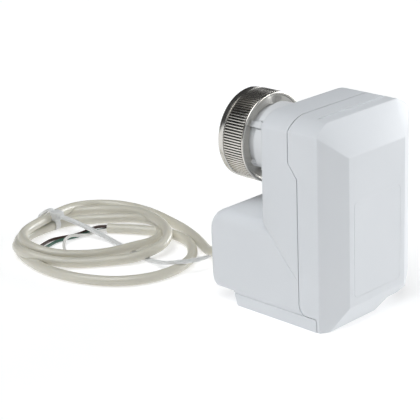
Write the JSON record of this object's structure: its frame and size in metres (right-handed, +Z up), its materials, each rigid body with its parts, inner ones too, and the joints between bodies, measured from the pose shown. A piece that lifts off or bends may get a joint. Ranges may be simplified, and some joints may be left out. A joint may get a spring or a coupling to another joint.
{
  "type": "motorised actuator head",
  "caption": "Motorised actuator head: L-shaped plastic casing with a sloping brow, knurled coupling nut on a slotted neck, push pin driven through a gear train, and a tied coil of lead.",
  "frame": {"origin": "under the middle of the casing, on the surface it stands on", "axes": "+Z up, +Y along the valve axis towards the valve, +X to the right seen from the cover side"},
  "size_m": [0.0802, 0.1787, 0.0783],
  "materials": {
    "casing_plastic": "satin, fine spark texture",
    "neck_plastic": "satin",
    "label_film": "smooth satin film",
    "plated_nut": "bright nickel plate",
    "pin_brass": "machined",
    "gear_plastic": "moulded, slightly waxy",
    "steel_parts": "zinc plated",
    "motor_steel": "drawn and plated",
    "bearing_bronze": "sintered, dull",
    "dark_plastic": "moulded",
    "board_laminate": "solder resist",
    "header_plastic": "moulded",
    "cable_sheath": "soft, semi-matt ivory",
    "wire_brown": "smooth insulation",
    "wire_green": "smooth insulation",
    "wire_white": "smooth insulation",
    "tie_nylon": "translucent, natural"
  },
  "bodies": {
    "casing": {"rear_housing": "casing_plastic", "front_cover": "casing_plastic", "label_panel": "label_film", "valve_neck": "neck_plastic", "nut_retaining_ring": "steel_parts", "thrust_washer": "steel_parts", "output_bush": "bearing_bronze", "upper_axle": "steel_parts", "lower_axle": "steel_parts", "gear_bridge": "steel_parts", "motor_bracket": "steel_parts", "bridge_standoff": "steel_parts", "motor_can": "motor_steel", "motor_end_cap": "dark_plastic", "circuit_board": "board_laminate", "control_chip": "dark_plastic", "capacitor": "dark_plastic", "cable_header": "header_plastic", "cover_screws": "steel_parts", "bridge_screws": "steel_parts", "bracket_screws": "steel_parts", "board_screws": "steel_parts", "cable_gland": "cable_sheath", "cable_inner_end": "cable_sheath", "cable_lead": "cable_sheath", "cable_coil": "cable_sheath", "cable_loop": "cable_sheath", "wire_brown": "wire_brown", "wire_green": "wire_green", "wire_white": "wire_white", "cable_tie": "tie_nylon"},
    "nut": {"coupling_nut": "plated_nut"},
    "output_drive": {"output_gear": "gear_plastic"},
    "pin": {"push_pin": "pin_brass"},
    "upper_idler": {"upper_idler_gear": "gear_plastic"},
    "lower_idler": {"lower_idler_gear": "gear_plastic"},
    "rotor": {"motor_shaft": "steel_parts", "motor_pinion": "pin_brass"}
  },
  "joints": [
    {"name": "nut_spin", "type": "hinge", "parent": "casing", "child": "nut", "pos_m": [0, 0.025, 0.0598], "axis": [0, 1, 0], "continuous": true},
    {"name": "output_turn", "type": "hinge", "parent": "casing", "child": "output_drive", "pos_m": [0, 0, 0.0598], "axis": [0, 1, 0], "range_deg": [0, 720]},
    {"name": "pin_travel", "type": "slide", "parent": "casing", "child": "pin", "axis": [0, 1, 0], "range_m": [0, 0.0065]},
    {"name": "upper_idler_turn", "type": "hinge", "parent": "casing", "child": "upper_idler", "pos_m": [0.00009, 0, 0.04374], "axis": [0, 1, 0], "range_deg": [-2160, 0]},
    {"name": "lower_idler_turn", "type": "hinge", "parent": "casing", "child": "lower_idler", "pos_m": [-0.0065, 0, 0.03247], "axis": [0, 1, 0], "range_deg": [0, 4860]},
    {"name": "rotor_turn", "type": "hinge", "parent": "casing", "child": "rotor", "pos_m": [0, 0, 0.02], "axis": [0, 1, 0], "range_deg": [-12150, 0]}
  ],
  "couplings": [
    {"joint": "pin_travel", "follows": "output_turn", "m_per_rad": 0.00051725},
    {"joint": "upper_idler_turn", "follows": "output_turn", "ratio": -3},
    {"joint": "lower_idler_turn", "follows": "output_turn", "ratio": 6.75},
    {"joint": "rotor_turn", "follows": "output_turn", "ratio": -16.875}
  ]
}
